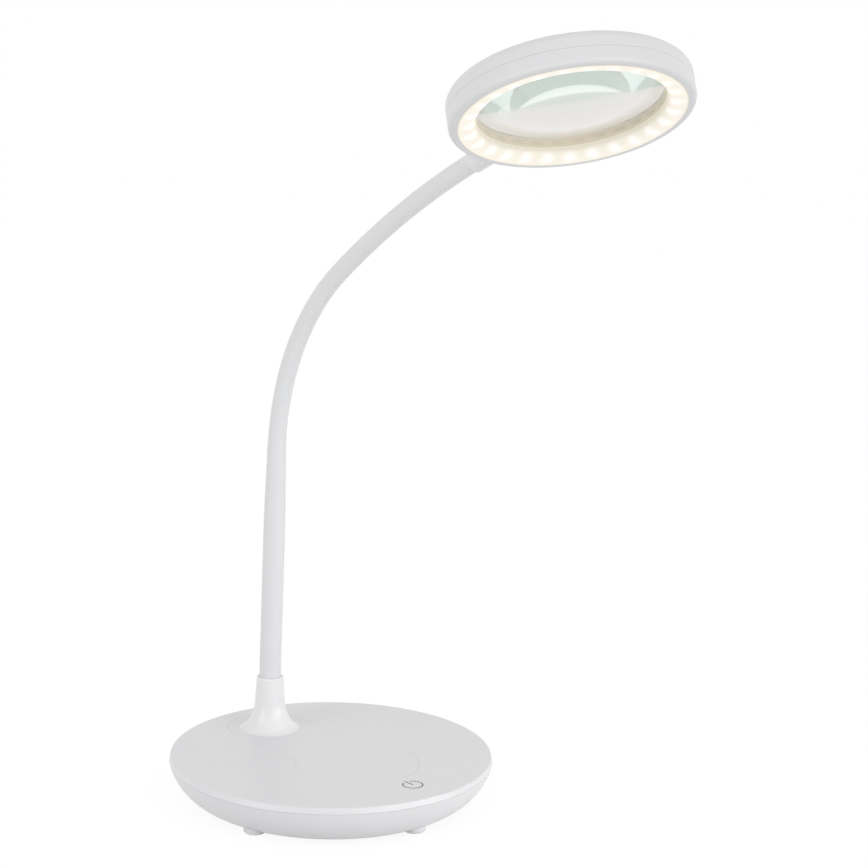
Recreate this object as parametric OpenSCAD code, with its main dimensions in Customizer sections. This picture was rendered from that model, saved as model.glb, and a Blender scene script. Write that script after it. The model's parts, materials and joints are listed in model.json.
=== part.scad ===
// Desk magnifier lamp: a weighted round base, a sleeved bending arm and a ring light round a lens.
// Millimetres, +Z up, front towards -Y, origin on the table under the middle of the base.

/* [Base shells] */
// Diameter of the base at its widest
base_d = 170; // [160:1:190]
// Height of the flat top above the table
base_h = 24; // [23:0.5:32]
// Run of the slanted edge of the cover, from the flat top out to the seam
cover_slant = 0.8; // [0.5:0.1:2.5]
// Radius of the rounding between the flat top and the slanted edge
top_edge_r = 0.5; // [0.3:0.1:2]
// Height of the cover's edge, from the flat top down to the seam
cover_edge_h = 3.1; // [2.8:0.1:4]
// Thickness of the cover's plate
cover_t = 2.4; // [2.2:0.1:2.7]
// Open seam between cover and bowl
seam_gap = 0.12; // [0.1:0.02:0.5]
// Radius of the bowl's flat underside
bowl_floor_r = 69.25; // [68:0.25:72]
// Radius of the bowl's side curve
bowl_side_r = 28.3; // [24:0.1:40]
// Wall of the bowl
bowl_wall = 2.2; // [1.8:0.1:2.6]
// Depth of the locating rim under the cover
rim_depth = 3; // [2:0.5:4]
// Thickness of the locating rim
rim_t = 1.8; // [1.4:0.1:2.4]
// Play between the locating rim and the bowl
rim_play = 0.4; // [0.3:0.05:0.6]

/* [Keyhole inlay] */
// Radius of the round front of the inlay
keyhole_r = 32.4; // [28:0.1:36]
// Distance of that round front before the middle of the base
keyhole_front = 21; // [16:0.5:28]
// Half width of the inlay's tongue, and radius of its end round the boot
tongue_r = 22.8; // [18:0.1:26]
// Thickness of the inlay
inlay_t = 1.2; // [0.8:0.1:1.4]
// Open seam round the inlay
inlay_gap = 0.1; // [0.1:0.05:0.3]

/* [Feet and ballast] */
// Number of feet, the first one at the front
foot_count = 5; // [4:1:6]
// Diameter of a foot
foot_d = 11.5; // [10:0.5:14]
// Radius of the circle that the feet stand on
foot_ring_r = 66.5; // [62:0.5:68]
// Angle from the front foot to the next one on either side, the others sharing the rest
foot_step = 75; // [60:1:90]
// Clearance under the bowl
foot_stand = 2; // [1.5:0.1:3.5]
// Rounded edge of a foot
foot_edge_r = 1.2; // [0.3:0.1:1.5]
// Diameter of the ballast disc
ballast_d = 120; // [112:1:126]
// Thickness of the ballast disc
ballast_t = 7; // [4:0.5:8]

/* [Base fixings] */
// Radius of the circle of cover bosses
boss_ring_r = 48; // [46:0.5:50]
// Diameter of a cover boss
boss_d = 8; // [7:0.5:9]
// Diameter of a base screw's shank
screw_d = 2.5; // [2:0.1:3]
// Diameter of a base screw's head
screw_head_d = 5.4; // [4.8:0.1:6]
// Height of a base screw's head
screw_head_h = 1; // [0.8:0.1:1.2]
// Length of a base screw under its head
screw_len = 10; // [8:0.5:12]

/* [Control] */
// Width of the control board
board_w = 36; // [28:1:44]
// Depth of the control board, front to back
board_l = 18; // [14:1:20]
// Distance of the touch electrode before the middle of the base
touch_front = 64.5; // [62:0.5:67]
// Diameter of the touch electrode
touch_d = 14; // [10:0.5:15]
// Thickness of the board and of the electrode
sheet_t = 1.6; // [1.2:0.1:2]
// Gap between the board and the cover's plate
board_drop = 4.5; // [3.5:0.5:6]
// Diameter of a post that carries the board
post_d = 5; // [4:0.5:6]

/* [Power inlet] */
// Height of the inlet's axis above the table
inlet_h = 12; // [11.5:0.5:13]
// Diameter of the inlet's barrel
inlet_d = 8; // [7:0.1:8.6]
// Diameter of the inlet's bore
inlet_bore_d = 5.6; // [5:0.1:6]
// Diameter of the inlet's centre pin
inlet_pin_d = 2.1; // [1.6:0.1:2.5]
// Depth of the inlet's bore
inlet_depth = 9; // [7:0.5:10]

/* [Boot] */
// Distance of the arm's foot behind the middle of the base
boot_back = 52.1; // [48:0.1:56]
// Radius at which the boot's flare would run out on the base
boot_foot_r = 17.8; // [16:0.1:18.5]
// Radius of the curve on which it runs out
boot_blend_r = 7.2; // [4:0.1:9]
// Thickness at which that curve is cut off
boot_lip_t = 0.15; // [0.1:0.05:1]
// Height at which the boot's flare ends
boot_flare_h = 16; // [14:0.5:20]
// Radius of the flare's hollow curve
boot_flare_r = 22.5; // [20:0.5:30]
// Radius of the boot where its flare ends
boot_neck_r = 8.05; // [7.8:0.05:9]
// Radius of the boot under its rounded shoulder
boot_rim_r = 7.25; // [7.2:0.05:7.6]
// Height of the boot
boot_h = 29; // [26:0.5:32]
// Radius of the boot's rounded shoulder
boot_edge_r = 0.9; // [0.4:0.1:1.2]
// Play round the sleeve in the boot
boot_play = 0.1; // [0.05:0.05:0.5]

/* [Arm path] */
// Upright length above the base
arm_upright = 32; // [30:0.5:36]
// Radius of the slight lean's bend
lean_bend_r = 250; // [200:5:300]
// Angle of the slight lean
lean_angle = 1.8; // [1:0.1:4]
// Straight length above the lean
arm_straight = 113.5; // [100:0.5:130]
// Radius of the main bend
main_bend_r = 137; // [125:1:150]
// Angle of the main bend
main_bend_angle = 48.7; // [40:0.1:56]
// Radius of the flatter bend before the head
crown_bend_r = 540; // [450:5:600]
// Angle of the flatter bend before the head
crown_bend_angle = 12.5; // [10:0.1:15]
// Straight length from the last bend to the middle of the head
head_reach = 68; // [67:0.5:72]

/* [Arm pieces] */
// Outer diameter of the sleeve at the base
sleeve_base_d = 11.6; // [11:0.1:11.8]
// Outer diameter of the sleeve at the head
sleeve_head_d = 9.4; // [9:0.1:9.8]
// Bore of the sleeve
sleeve_bore_d = 7.8; // [7.7:0.1:8]
// Distance along the arm at which the sleeve starts to taper
taper_from = 105; // [80:1:120]
// Distance along the arm at which the taper ends
taper_to = 175; // [130:1:200]
// Diameter of a link
link_d = 6.2; // [6:0.05:6.25]
// Number of joints in the arm
joint_count = 15; // [13:1:17]
// Distance of the lowest joint along the arm
joint_from = 40; // [38:0.5:44]
// Distance from the highest joint to the middle of the head
joint_to_head = 76.6; // [74:0.2:80]
// Diameter of a link's ball
ball_d = 4.8; // [4.7:0.05:4.9]
// Play between a ball and its cup, on the radius
ball_play = 0.1; // [0.05:0.01:0.1]
// Diameter of the neck under a ball
neck_d = 3.5; // [3.4:0.05:3.6]
// Height of the neck from the ball's middle
neck_h = 2.4; // [2.4:0.1:3]
// Height of a cup's edge past the ball's middle
cup_edge_h = 0.9; // [0.7:0.05:1]
// Bore through the links
link_bore_d = 2.7; // [2.6:0.05:2.8]
// Diameter of the lead inside the arm
lead_d = 1.4; // [1.2:0.05:1.45]
// Diameter of the arm's threaded stud through the base
stud_d = 8; // [7:0.1:9]
// Width of the nut under the cover, across its flats
nut_flats = 12; // [11:0.5:14]
// Height of the nut
nut_h = 3; // [2.5:0.1:4]

/* [Head shells] */
// Outer diameter of the head
head_d = 112.6; // [111:0.2:118]
// Thickness of the head
head_t = 16.5; // [16.5:0.1:19]
// Height of the seam between the two shells above the light face
head_seam_h = 7.6; // [7.5:0.1:7.8]
// Open seam between the two shells
head_seam_gap = 0.08; // [0.06:0.02:0.4]
// Wall of the shells
shell_wall = 1.6; // [1.5:0.1:1.8]
// Width of the lower shell from its side to the edge of the light
lip_w = 4.5; // [4.2:0.05:4.7]
// Thickness of the lower shell's lip
lip_t = 1.2; // [1:0.1:1.2]
// Radius of the lower outer edge
lower_edge_r = 2.1; // [1.5:0.1:2.5]
// Radius of the upper outer edge
upper_edge_r = 5.2; // [3:0.1:6.5]
// Radius of the rounded edge of the top opening
opening_edge_r = 0.8; // [0.4:0.1:1]
// Turn of the head about the arm's end
head_roll = 12.5; // [-20:0.5:20]
// Number of clip windows round the lens
window_count = 4; // [3:1:6]
// Width of a clip window
window_w = 7; // [5:0.5:9]
// Height of a clip window
window_h = 1.6; // [1.2:0.1:1.8]

/* [Lens and light] */
// Diameter of the view through the head
view_d = 87; // [85:0.5:87.5]
// Width of the lens's flat rim
lens_rim_w = 2.5; // [2:0.1:2.6]
// Thickness of the lens's rim
lens_rim_t = 2.6; // [2:0.1:2.8]
// Height of the lens's crown on each side
lens_crown = 3.8; // [2:0.1:3.9]
// Wall of the diffuser
diffuser_t = 1.2; // [1:0.1:1.3]
// Radius of the diffuser's turn into the view
diffuser_turn_r = 4; // [3:0.1:4.2]
// Drop of the diffuser's face behind the lip
diffuser_drop = 0.25; // [0.1:0.05:0.4]
// Height of the light board above the lip
light_board_rise = 4.8; // [4.6:0.1:5]
// Thickness of the light board
light_board_t = 1.2; // [1:0.1:1.3]
// Number of light chips
light_count = 27; // [24:1:44]
// Diameter of the circle of light chips
light_ring_d = 97; // [95:0.2:98]
// Width of a light chip
light_w = 2.8; // [2.2:0.1:3]
// Height of a light chip
light_h = 0.8; // [0.5:0.1:1]
// Wall of the lens ring
lens_ring_wall = 1.5; // [1.3:0.1:1.6]
// Thickness of the lens ring's flange
lens_ring_t = 1.4; // [1.2:0.1:1.5]
// Diameter of a boss for a head screw
head_boss_d = 4.8; // [4.4:0.1:5]
// Diameter of a head screw's shank
head_screw_d = 1.7; // [1.5:0.1:2]
// Diameter of a head screw's head
head_screw_head_d = 3.8; // [3.4:0.1:4.2]
// Height of a head screw's head
head_screw_head_h = 1; // [0.8:0.1:1]
// Length of a head screw under its head
head_screw_len = 5; // [4:0.1:5.4]

/* [Head collar] */
// Outer diameter of the collar
collar_d = 11.2; // [10.6:0.1:11.4]
// Length of the collar outside the head
collar_len = 14; // [8:0.5:15]
// Depth of the sleeve's end in the collar
collar_grip = 5.5; // [4:0.5:6]
// Diameter of the collar's flange inside the head
collar_flange_d = 12; // [11.6:0.1:12.2]
// Thickness of the flanges inside the head
collar_flange_t = 1.2; // [1:0.1:1.3]
// Rounded edge of the collar's mouth
collar_edge_r = 0.7; // [0.1:0.05:0.7]

/* [Hidden] */
$fn = 64;
// Clearance of a loose fit, on the radius
fit_gap = 0.15;
// Clearance between pieces that only pass each other
pass_gap = 0.4;
// Overrun of a cut past a face
cut = 1;

// Base heights and radii
base_r = base_d / 2;
seam_z = base_h - cover_edge_h;
cover_under_z = base_h - cover_t;
bowl_rim_z = seam_z - seam_gap;
floor_z = foot_stand + bowl_wall;

// Centre of the bowl's side curve, through its upper edge and the edge of its flat underside
side_run = [base_r - bowl_floor_r, seam_z - foot_stand];
side_chord = norm(side_run);
side_back = sqrt(pow(bowl_side_r, 2) - pow(side_chord / 2, 2)) / side_chord;
side_x = bowl_floor_r + side_run[0] / 2 - side_run[1] * side_back;
side_z = foot_stand + side_run[1] / 2 + side_run[0] * side_back;

// Inner radius of the bowl at a height
function bowl_inner_r(z) = side_x + sqrt(pow(bowl_side_r - bowl_wall, 2) - pow(side_z - z, 2));
// Outer radius of the bowl at a height
function bowl_outer_r(z) = side_x + sqrt(pow(bowl_side_r, 2) - pow(side_z - z, 2));

// Corner of the cover between its flat top and its slanted edge, and how far its rounding reaches
slant_angle = atan2(cover_edge_h, cover_slant);
corner_x = base_r - cover_slant;
corner_reach = top_edge_r * tan(slant_angle / 2);

rim_r = bowl_inner_r(seam_z - rim_depth) - rim_play;
board_z = cover_under_z - board_drop - sheet_t;
post_x = board_w / 2 - post_d / 2;
inlet_face = bowl_outer_r(inlet_h) - pass_gap;
inlet_body_w = inlet_d + 2 * cut;
inlet_body_l = 8;
inlet_barrel_l = 8;

// Arm path as runs of [length, bend radius], with radius 0 for a straight run
arm_runs = [
    [arm_upright, 0],
    [lean_bend_r * lean_angle * PI / 180, lean_bend_r],
    [arm_straight, 0],
    [main_bend_r * main_bend_angle * PI / 180, main_bend_r],
    [crown_bend_r * crown_bend_angle * PI / 180, crown_bend_r],
    [head_reach, 0]
];
// Distance along the arm at which a run starts
function run_start(i) = i == 0 ? 0 : run_start(i - 1) + arm_runs[i - 1][0];
arm_len = run_start(len(arm_runs));

// State [forward, up, lean angle] after moving a length along a run of bend radius r
function arm_step(p, r, length) =
    r == 0
    ? [p[0] + length * sin(p[2]), p[1] + length * cos(p[2]), p[2]]
    : let (turned = p[2] + length / r * 180 / PI)
      [p[0] + r * (cos(p[2]) - cos(turned)), p[1] + r * (sin(turned) - sin(p[2])), turned];
// State at a distance s along the arm from the base's top
function arm_at(s, i = 0, p = [-boot_back, base_h, 0]) =
    s <= arm_runs[i][0] || i == len(arm_runs) - 1
    ? arm_step(p, arm_runs[i][1], s)
    : arm_at(s - arm_runs[i][0], i + 1, arm_step(p, arm_runs[i][1], arm_runs[i][0]));
// Straight distance between two places along the arm
function arm_chord(s0, s1) = norm([arm_at(s1)[0] - arm_at(s0)[0], arm_at(s1)[1] - arm_at(s0)[1]]);
// Distance along the arm of joint k, counted from 1 at the base
joint_pitch = (arm_len - joint_to_head - joint_from) / (joint_count - 1);
function joint_s(k) = joint_from + (k - 1) * joint_pitch;

link_r = link_d / 2;
link_bevel = 0.8;
root_flange_h = 2;
sleeve_from = root_flange_h + cut / 2;
sleeve_spans = 48;
sleeve_sides = 20;
lead_sides = 8;
stud_spare = 1.6;
stud_depth = cover_t + nut_h + stud_spare;

// Head heights above the light face
light_board_z = lip_t + light_board_rise;
light_board_top = light_board_z + light_board_t;
lens_ring_flange_z = light_board_top + head_screw_head_h + pass_gap;
lens_z = lens_ring_flange_z + lens_ring_t;
lens_top_z = lens_z + lens_rim_t;
upper_bore_z = lens_top_z + fit_gap;
diffuser_top_z = light_board_z + pass_gap;

// Head radii
head_r = head_d / 2;
shell_in_r = head_r - shell_wall;
lip_in_r = head_r - lip_w;
view_r = view_d / 2;
lens_r = view_r + lens_rim_w;
crown_r = view_r - fit_gap;
lens_sphere_r = (pow(crown_r, 2) + pow(lens_crown, 2)) / (2 * lens_crown);
diffuser_lap = 0.6;
diffuser_flange_r = lip_in_r + diffuser_lap;
ledge_in_r = diffuser_flange_r + fit_gap;
tongue_t = 0.8;
tongue_h = 1.4;
tongue_in_r = shell_in_r - fit_gap - tongue_t;
light_board_r = tongue_in_r - fit_gap;
head_boss_r = head_boss_d / 2;
head_boss_ring_r = lens_r + head_boss_r + pass_gap;

// Collar places, as distances from the middle of the head towards the arm
collar_flange_r = collar_flange_d / 2;
flange_room_r = collar_flange_r + 2 * fit_gap;
collar_flange_y = sqrt(pow(shell_in_r, 2) - pow(flange_room_r, 2)) - pass_gap;
tip_flange_y = collar_flange_y - collar_flange_t;
tip_end_y = tip_flange_y - collar_flange_t;
collar_step = 1.6;
tip_flange_r = collar_flange_r - collar_step;
collar_mouth_y = head_r + collar_len;
sleeve_end_s = arm_len - collar_mouth_y + collar_grip;
collar_bore_r = sleeve_head_d / 2 + fit_gap;
collar_mouth_edge_r = min(collar_edge_r, collar_d / 2 - collar_bore_r);

feet = [for (i = [1 : foot_count]) str("foot_", i)];
links = [for (i = [1 : joint_count - 1]) str("arm_link_", i)];

// Copies of the children turned to the four screw places
module four_corners() {
    for (i = [0 : 3]) rotate([0, 0, 45 + 90 * i]) children();
}

// Ring of rectangular section
module ring(r_in, r_out, z0, z1) {
    translate([0, 0, z0]) difference() {
        cylinder(h = z1 - z0, r = r_out);
        translate([0, 0, -cut]) cylinder(h = z1 - z0 + 2 * cut, r = r_in);
    }
}

// Half section of the bowl's body, drawn in by a wall thickness
module bowl_section(inset, top_z) {
    bottom_z = foot_stand + inset;
    intersection() {
        union() {
            translate([side_x, side_z]) circle(bowl_side_r - inset);
            square([side_x, top_z]);
        }
        translate([0, bottom_z]) square([base_d, top_z - bottom_z]);
    }
}

module base_bowl() {
    color("#e2e3e5") difference() {
        rotate_extrude() bowl_section(0, bowl_rim_z);
        rotate_extrude() bowl_section(bowl_wall, seam_z + cut);
        four_corners() translate([boss_ring_r, 0, 0]) {
            cylinder(h = floor_z + cut, r = screw_d / 2 + fit_gap);
            cylinder(h = foot_stand + screw_head_h, r = screw_head_d / 2 + fit_gap);
        }
        translate([0, base_r, inlet_h]) rotate([90, 0, 0])
            cylinder(h = base_r / 2, r = inlet_d / 2 + fit_gap);
    }
}

// Outline of the inlay: a round front and a tongue that runs round the boot
module keyhole_outline(grow) {
    translate([0, -keyhole_front]) circle(keyhole_r + grow);
    translate([0, boot_back]) circle(tongue_r + grow);
    translate([-tongue_r - grow, -keyhole_front]) square([2 * (tongue_r + grow), keyhole_front + boot_back]);
}

module top_cover() {
    edge_in_r = bowl_inner_r(seam_z);
    color("#dcddde") difference() {
        union() {
            rotate_extrude() {
                polygon([
                    [0, cover_under_z],
                    [edge_in_r, cover_under_z],
                    [edge_in_r, seam_z],
                    [base_r, seam_z],
                    [corner_x + corner_reach * cos(slant_angle), base_h - corner_reach * sin(slant_angle)],
                    [corner_x - corner_reach, base_h],
                    [0, base_h]
                ]);
                translate([corner_x - corner_reach, base_h - top_edge_r]) circle(top_edge_r);
            }
            ring(rim_r - rim_t, rim_r, seam_z - rim_depth, cover_under_z + cut / 2);
            four_corners() translate([boss_ring_r, 0, floor_z])
                cylinder(h = cover_under_z + cut / 2 - floor_z, r = boss_d / 2);
            for (side = [-1, 1]) translate([side * post_x, -touch_front, board_z + sheet_t])
                cylinder(h = board_drop + cut / 2, r = post_d / 2);
        }
        translate([0, 0, base_h - inlay_t]) linear_extrude(inlay_t + cut) keyhole_outline(inlay_gap);
        translate([0, boot_back, 0]) cylinder(h = base_h, r = stud_d / 2 + fit_gap);
        four_corners() translate([boss_ring_r, 0, floor_z - cut])
            cylinder(h = screw_len + cut, r = screw_d / 2);
    }
}

module keyhole_inlay() {
    color("#dcddde") difference() {
        translate([0, 0, base_h - inlay_t]) linear_extrude(inlay_t) keyhole_outline(0);
        translate([0, boot_back, 0]) cylinder(h = base_h + cut, r = stud_d / 2 + fit_gap);
    }
}

module ballast() {
    color("#7c7f82") translate([0, 0, floor_z]) difference() {
        cylinder(h = ballast_t, r = ballast_d / 2);
        four_corners() translate([boss_ring_r, 0, -cut])
            cylinder(h = ballast_t + 2 * cut, r = boss_d / 2 + pass_gap);
    }
}

module base_screws() {
    color("#a5a8ab") four_corners() translate([boss_ring_r, 0, foot_stand]) {
        cylinder(h = screw_head_h, r = screw_head_d / 2);
        cylinder(h = screw_head_h + screw_len - cut, r = screw_d / 2);
    }
}

// Place of a foot round the base, as an angle from the front
function foot_angle(i) = i == 1 ? 0 : foot_step + (i - 2) * (360 - 2 * foot_step) / (foot_count - 2);

// Round foot whose top follows the bowl's underside
module foot(i) {
    r = foot_d / 2;
    top_z = side_z - sqrt(pow(bowl_side_r, 2) - pow(foot_ring_r + r - side_x, 2));
    color("#c9cbce") difference() {
        rotate([0, 0, foot_angle(i)]) translate([0, -foot_ring_r, 0]) rotate_extrude() {
            square([r - foot_edge_r, top_z]);
            translate([0, foot_edge_r]) square([r, top_z - foot_edge_r]);
            translate([r - foot_edge_r, foot_edge_r]) circle(foot_edge_r);
        }
        rotate_extrude() bowl_section(0, bowl_rim_z);
    }
}

module control_board() {
    color("#2f6b4a") translate([-board_w / 2, -touch_front - board_l / 2, board_z])
        cube([board_w, board_l, sheet_t]);
}

// Sprung stem on the board with a plate against the underside of the cover
module touch_electrode() {
    color("#b9893f") translate([0, -touch_front, board_z + sheet_t]) {
        cylinder(h = board_drop, r = touch_d / 8);
        translate([0, 0, board_drop - sheet_t / 2]) cylinder(h = sheet_t / 2, r = touch_d / 2);
    }
}

module power_inlet() {
    color("#2a2b2d") translate([0, inlet_face, inlet_h]) rotate([90, 0, 0]) {
        difference() {
            union() {
                cylinder(h = inlet_barrel_l + inlet_body_l, r = inlet_d / 2);
                translate([-inlet_body_w / 2, -inlet_body_w / 2, inlet_barrel_l])
                    cube([inlet_body_w, inlet_body_w, inlet_body_l]);
            }
            translate([0, 0, -cut]) cylinder(h = inlet_depth + cut, r = inlet_bore_d / 2);
        }
        translate([0, 0, cut]) cylinder(h = inlet_depth, r = inlet_pin_d / 2);
    }
}

module boot() {
    bore_r = sleeve_base_d / 2 + boot_play;
    edge_r = min(boot_edge_r, boot_rim_r - bore_r);
    shoulder_x = boot_rim_r - edge_r;
    shoulder_z = boot_h - edge_r;
    flare_x = boot_neck_r + boot_flare_r;
    flare_run = flare_x - boot_foot_r;
    blend_drop = boot_flare_h - boot_blend_r;
    blend_top = boot_flare_h - boot_flare_r * blend_drop / norm([flare_run, blend_drop]);
    blend_end = boot_foot_r - sqrt(boot_lip_t * (2 * boot_blend_r - boot_lip_t));
    color("#d9dadc") translate([0, boot_back, base_h]) rotate_extrude() {
        difference() {
            translate([bore_r, 0]) square([boot_foot_r - bore_r, boot_flare_h]);
            translate([flare_x, boot_flare_h]) circle(boot_flare_r);
        }
        difference() {
            translate([bore_r, 0]) square([blend_end - bore_r, blend_top]);
            translate([boot_foot_r, boot_blend_r]) circle(boot_blend_r);
        }
        polygon([
            [bore_r, boot_flare_h],
            [boot_neck_r, boot_flare_h],
            [boot_rim_r, shoulder_z],
            [shoulder_x, boot_h],
            [bore_r, boot_h]
        ]);
        intersection() {
            translate([shoulder_x, shoulder_z]) circle(edge_r);
            translate([shoulder_x, shoulder_z]) square(edge_r);
        }
    }
}

// Places the children with +Z along the arm at a distance s
module at_arm(s) {
    p = arm_at(s);
    translate([0, -p[0], p[1]]) rotate([p[2], 0, 0]) children();
}

// Places the children with +Z along the straight line from one place on the arm to another
module along(s0, s1) {
    a = arm_at(s0);
    b = arm_at(s1);
    translate([0, -a[0], a[1]]) rotate([atan2(b[0] - a[0], b[1] - a[1]), 0, 0]) children();
}

// Corners of a round section of the arm at a distance s
function arm_section(s, r, sides) =
    let (p = arm_at(s))
    [for (j = [0 : sides - 1]) let (a = 360 * j / sides)
        [r * cos(a), r * sin(a) * cos(p[2]) - p[0], r * sin(a) * sin(p[2]) + p[1]]];

// Skin of triangles over a row of sections, closed with caps or by looping back to the first one
module section_skin(sections, looped) {
    n = len(sections[0]);
    count = len(sections);
    spans = looped ? count : count - 1;
    last = n * (count - 1);
    walls = [for (i = [0 : spans - 1], j = [0 : n - 1])
        let (low = n * i, high = n * ((i + 1) % count), next = (j + 1) % n)
        each [[low + j, high + next, low + next], [low + j, high + j, high + next]]];
    caps = looped ? [] : [for (j = [1 : n - 2]) each [[0, j, j + 1], [last, last + j + 1, last + j]]];
    polyhedron(points = [for (section = sections) each section], faces = concat(walls, caps));
}

// Ball and neck at the lower end of a moving piece, with its bevelled shoulder
module ball_end() {
    sphere(ball_d / 2);
    cylinder(h = neck_h + link_bevel, r = neck_d / 2);
    translate([0, 0, neck_h]) cylinder(h = link_bevel, r1 = link_r - link_bevel, r2 = link_r);
}

module arm_root() {
    length = arm_chord(0, joint_s(1));
    color("#8f9397") along(0, joint_s(1)) difference() {
        union() {
            translate([0, 0, -stud_depth]) cylinder(h = stud_depth, r = stud_d / 2);
            cylinder(h = root_flange_h, r = sleeve_base_d / 2);
            cylinder(h = length + cup_edge_h, r = link_r);
        }
        translate([0, 0, length]) sphere(ball_d / 2 + ball_play);
        translate([0, 0, -stud_depth - cut]) cylinder(h = length + stud_depth + cut, r = link_bore_d / 2);
    }
}

module root_nut() {
    color("#a5a8ab") translate([0, boot_back, cover_under_z - nut_h]) difference() {
        cylinder(h = nut_h, r = nut_flats / sqrt(3), $fn = 6);
        translate([0, 0, -cut]) cylinder(h = nut_h + 2 * cut, r = stud_d / 2 + fit_gap);
    }
}

module arm_link(k) {
    length = arm_chord(joint_s(k), joint_s(k + 1));
    shoulder = neck_h + link_bevel;
    color("#8f9397") along(joint_s(k), joint_s(k + 1)) difference() {
        union() {
            ball_end();
            translate([0, 0, shoulder]) cylinder(h = length + cup_edge_h - shoulder, r = link_r);
        }
        translate([0, 0, length]) sphere(ball_d / 2 + ball_play);
        translate([0, 0, -ball_d]) cylinder(h = length + ball_d, r = link_bore_d / 2);
    }
}

module arm_tip() {
    tip_s = arm_len - tip_end_y;
    length = arm_chord(joint_s(joint_count), tip_s);
    color("#8f9397") along(joint_s(joint_count), tip_s) difference() {
        union() {
            ball_end();
            translate([0, 0, neck_h + link_bevel]) cylinder(h = length - neck_h - link_bevel, r = link_r);
            translate([0, 0, length - collar_flange_t]) cylinder(h = collar_flange_t, r = tip_flange_r);
        }
        translate([0, 0, -ball_d]) cylinder(h = length + 2 * ball_d, r = link_bore_d / 2);
    }
}

// Outer radius of the sleeve at a distance s along the arm
function sleeve_r(s) =
    let (part = min(1, max(0, (s - taper_from) / (taper_to - taper_from))))
    (sleeve_base_d + (sleeve_head_d - sleeve_base_d) * part) / 2;

module arm_sleeve() {
    stations = [for (i = [0 : sleeve_spans]) sleeve_from + (sleeve_end_s - sleeve_from) * i / sleeve_spans];
    outside = [for (s = stations) arm_section(s, sleeve_r(s), sleeve_sides)];
    inside = [for (i = [sleeve_spans : -1 : 0]) arm_section(stations[i], sleeve_bore_d / 2, sleeve_sides)];
    color("#dedfe1") section_skin(concat(outside, inside), true);
}

module arm_lead() {
    lead_end = arm_len - tip_end_y;
    stations = concat([-stud_depth], [for (i = [0 : sleeve_spans]) lead_end * i / sleeve_spans]);
    color("#3a3b3d") section_skin([for (s = stations) arm_section(s, lead_d / 2, lead_sides)], false);
}

// Places the children in the head: the light face at z 0, the arm arriving from +Y
module at_head() {
    p = arm_at(arm_len);
    translate([0, -p[0], p[1]]) rotate([p[2] - 90, 0, 0]) rotate([0, head_roll, 0])
        translate([0, 0, -head_seam_h]) children();
}

// Room in the shells for the collar and its flange
module collar_room() {
    translate([0, 0, head_seam_h]) rotate([-90, 0, 0]) {
        cylinder(h = head_d, r = collar_d / 2 + fit_gap);
        translate([0, 0, tip_end_y - pass_gap])
            cylinder(h = collar_flange_y + pass_gap - tip_end_y + pass_gap / 2, r = flange_room_r);
    }
}

module head_collar() {
    shank_r = link_r + fit_gap;
    grip_y = collar_mouth_y - collar_grip;
    mouth_r = collar_d / 2 - collar_mouth_edge_r;
    mouth_edge_y = collar_mouth_y - collar_mouth_edge_r;
    color("#dedfe1") at_head() translate([0, 0, head_seam_h]) rotate([-90, 0, 0]) rotate_extrude() {
        translate([shank_r, tip_flange_y]) square([collar_flange_r - shank_r, collar_flange_t]);
        translate([shank_r, tip_flange_y]) square([collar_d / 2 - shank_r, grip_y - fit_gap - tip_flange_y]);
        translate([collar_bore_r, tip_flange_y])
            square([collar_d / 2 - collar_bore_r, mouth_edge_y - tip_flange_y]);
        translate([collar_bore_r, tip_flange_y])
            square([mouth_r - collar_bore_r, collar_mouth_y - tip_flange_y]);
        intersection() {
            translate([mouth_r, mouth_edge_y]) circle(collar_mouth_edge_r);
            translate([mouth_r, mouth_edge_y]) square(collar_mouth_edge_r);
        }
    }
}

module lower_shell() {
    wall_top = head_seam_h - head_seam_gap / 2;
    bend_r = head_r - lower_edge_r;
    tongue_top = head_seam_h + tongue_h;
    color("#dcdde0") at_head() difference() {
        union() {
            rotate_extrude() difference() {
                union() {
                    translate([lip_in_r, 0]) square([bend_r - lip_in_r, wall_top]);
                    translate([lip_in_r, lower_edge_r]) square([lip_w, wall_top - lower_edge_r]);
                    translate([bend_r, lower_edge_r]) circle(lower_edge_r);
                }
                translate([0, lip_t]) square([shell_in_r, head_t]);
            }
            ring(ledge_in_r, shell_in_r + shell_wall / 4, light_board_z - lip_t, light_board_z);
            ring(tongue_in_r, shell_in_r + shell_wall / 4, light_board_z - lip_t, wall_top - cut / 2);
            ring(tongue_in_r, tongue_in_r + tongue_t, light_board_z - lip_t, tongue_top);
        }
        collar_room();
    }
}

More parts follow.
